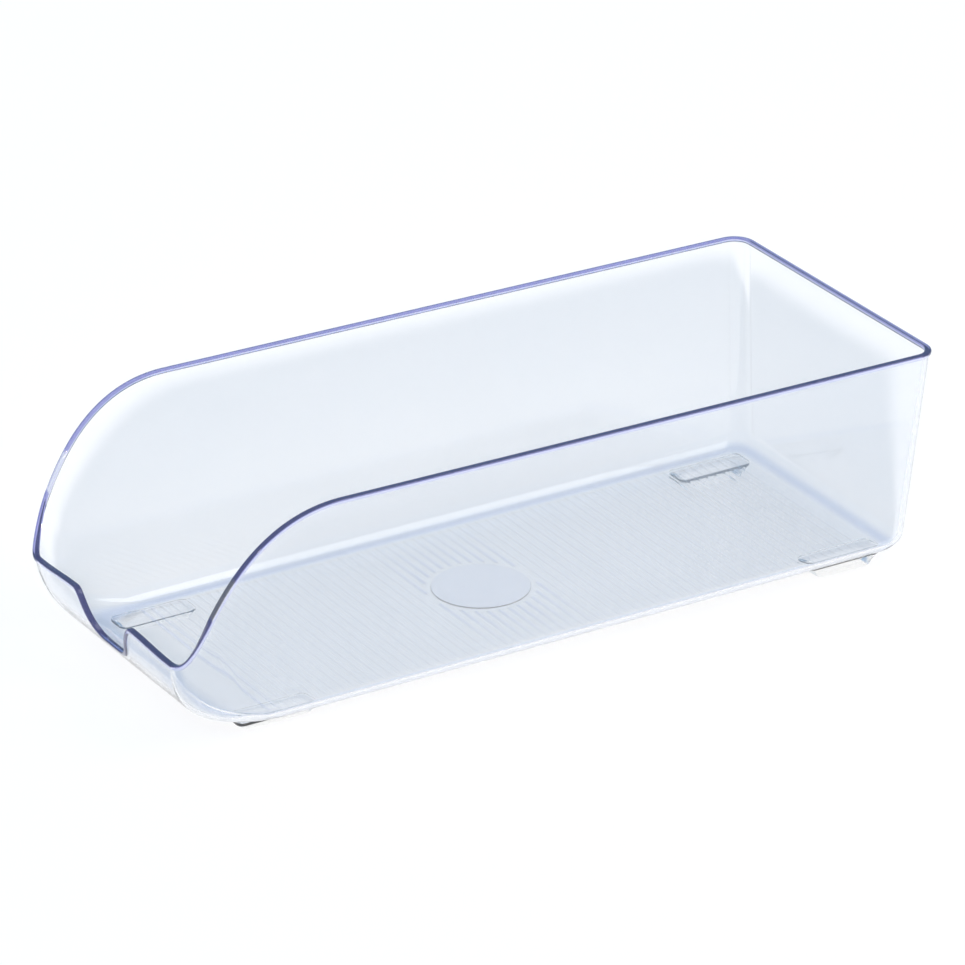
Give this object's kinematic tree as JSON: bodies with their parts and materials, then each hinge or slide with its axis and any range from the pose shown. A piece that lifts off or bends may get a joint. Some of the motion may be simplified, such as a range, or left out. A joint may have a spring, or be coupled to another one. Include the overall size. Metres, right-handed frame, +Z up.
{
  "type": "fridge can organizer",
  "caption": "Long clear open bin for drinks cans, with high sides that sweep down to a low rounded loading lip with a finger notch, on clear foot pads.",
  "frame": {"origin": "on the shelf, under the middle of the bin's overall box", "axes": "+Z up, +Y from the loading lip towards the tall back wall, +X to the right of someone who faces the lip"},
  "size_m": [0.1498, 0.351, 0.1],
  "materials": {
    "clear_tray": "clear, polished, faint blue tint",
    "clear_pad": "clear soft pad, smooth"
  },
  "bodies": {
    "root": {"tray": "clear_tray", "front_left_foot": "clear_pad", "front_right_foot": "clear_pad", "rear_left_foot": "clear_pad", "rear_right_foot": "clear_pad"}
  },
  "joints": []
}
